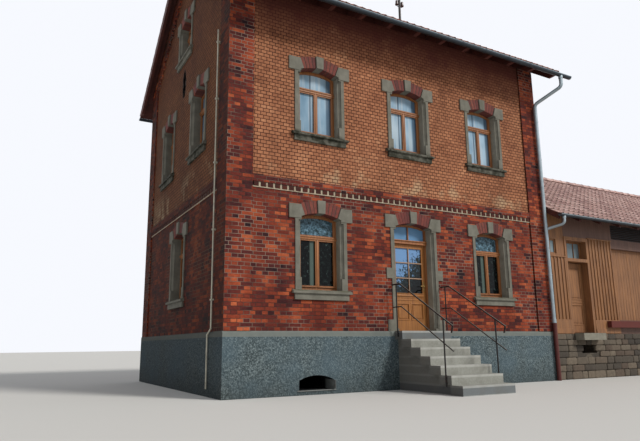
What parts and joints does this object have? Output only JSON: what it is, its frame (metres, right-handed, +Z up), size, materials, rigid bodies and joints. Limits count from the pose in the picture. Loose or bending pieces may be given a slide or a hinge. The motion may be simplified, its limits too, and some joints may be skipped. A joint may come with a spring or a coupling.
{
  "type": "railway station building",
  "caption": "Two-storey brick station building with stone window surrounds, front stair and gabled tile roof, with a boarded goods shed on its right gable.",
  "frame": {"origin": "on the lowest ground line, under the front brick face at the middle of the main front", "axes": "+X along the front towards the goods shed, +Y into the building, +Z up"},
  "size_m": [19.933, 9.762, 11.4666],
  "materials": {
    "brick_red": "unglazed facing brick",
    "brick_yellow": "unglazed ochre facing brick",
    "render": "roughcast",
    "sandstone": "dressed grey-green sandstone",
    "rubble": "rough quarry stone",
    "concrete": "cast stone",
    "floor_wood": "boarded",
    "dark_wood": "dark stained",
    "oak": "clear varnished",
    "board_wood": "honey-brown stained boards",
    "red_wood": "dark red paint",
    "clay_tile": "matt fired clay",
    "zinc": "weathered zinc",
    "cast_pipe": "red-brown painted",
    "iron": "black-brown paint",
    "glass": "clear window glass",
    "brass": "dull"
  },
  "bodies": {
    "building": {"plinth": "render", "front_wall_lower": "brick_red", "front_wall_upper": "brick_yellow", "back_wall_lower": "brick_red", "back_wall_upper": "brick_yellow", "gable_left_lower": "brick_red", "gable_left_upper": "brick_yellow", "gable_right": "brick_red", "corner_piers": "brick_red", "brick_band": "brick_red", "rake_friezes": "brick_red", "floors": "floor_wood", "rafters": "dark_wood", "roof_boards": "dark_wood", "roof_tiles": "clay_tile", "ridge_tiles": "clay_tile", "gutters": "zinc", "gutter_hooks": "zinc", "downpipes": "zinc", "standpipe": "cast_pipe", "roof_mast": "iron", "conductor": "zinc", "window_sills": "sandstone", "window_jambs": "sandstone", "impost_blocks": "sandstone", "keystones": "sandstone", "brick_arches": "brick_red", "window_frames": "oak", "window_panes": "glass", "door_jambs": "sandstone", "door_frame": "oak", "front_steps": "concrete", "stair_railings": "iron", "shed_base": "rubble", "shed_floor": "floor_wood", "shed_front_panels": "board_wood", "shed_front_top": "board_wood", "shed_rear_walls": "board_wood", "shed_rafters": "dark_wood", "shed_roof_tiles": "clay_tile", "flashing": "zinc", "shed_frames": "board_wood", "shed_lattice": "dark_wood", "goods_rail": "iron", "fender_beam": "red_wood"},
    "front_door_leaf": {"front_door": "oak", "front_door_panes": "glass", "door_handle": "brass"},
    "shed_door_leaf": {"shed_door": "board_wood"},
    "goods_door_left": {"goods_leaf_left": "board_wood"},
    "goods_door_right": {"goods_leaf_right": "board_wood"}
  },
  "joints": [
    {"name": "front_door_hinge", "type": "hinge", "parent": "building", "child": "front_door_leaf", "pos_m": [-0.414, 0.283, 1.23], "axis": [0, 0, 1], "range_deg": [0, 95]},
    {"name": "shed_door_hinge", "type": "hinge", "parent": "building", "child": "shed_door_leaf", "pos_m": [5.393, 0.313, 1.23], "axis": [0, 0, 1], "range_deg": [0, 95]},
    {"name": "goods_left_slide", "type": "slide", "parent": "building", "child": "goods_door_left", "axis": [-1, 0, 0], "range_m": [0, 0.8]},
    {"name": "goods_right_slide", "type": "slide", "parent": "building", "child": "goods_door_right", "axis": [1, 0, 0], "range_m": [0, 0.8]}
  ]
}
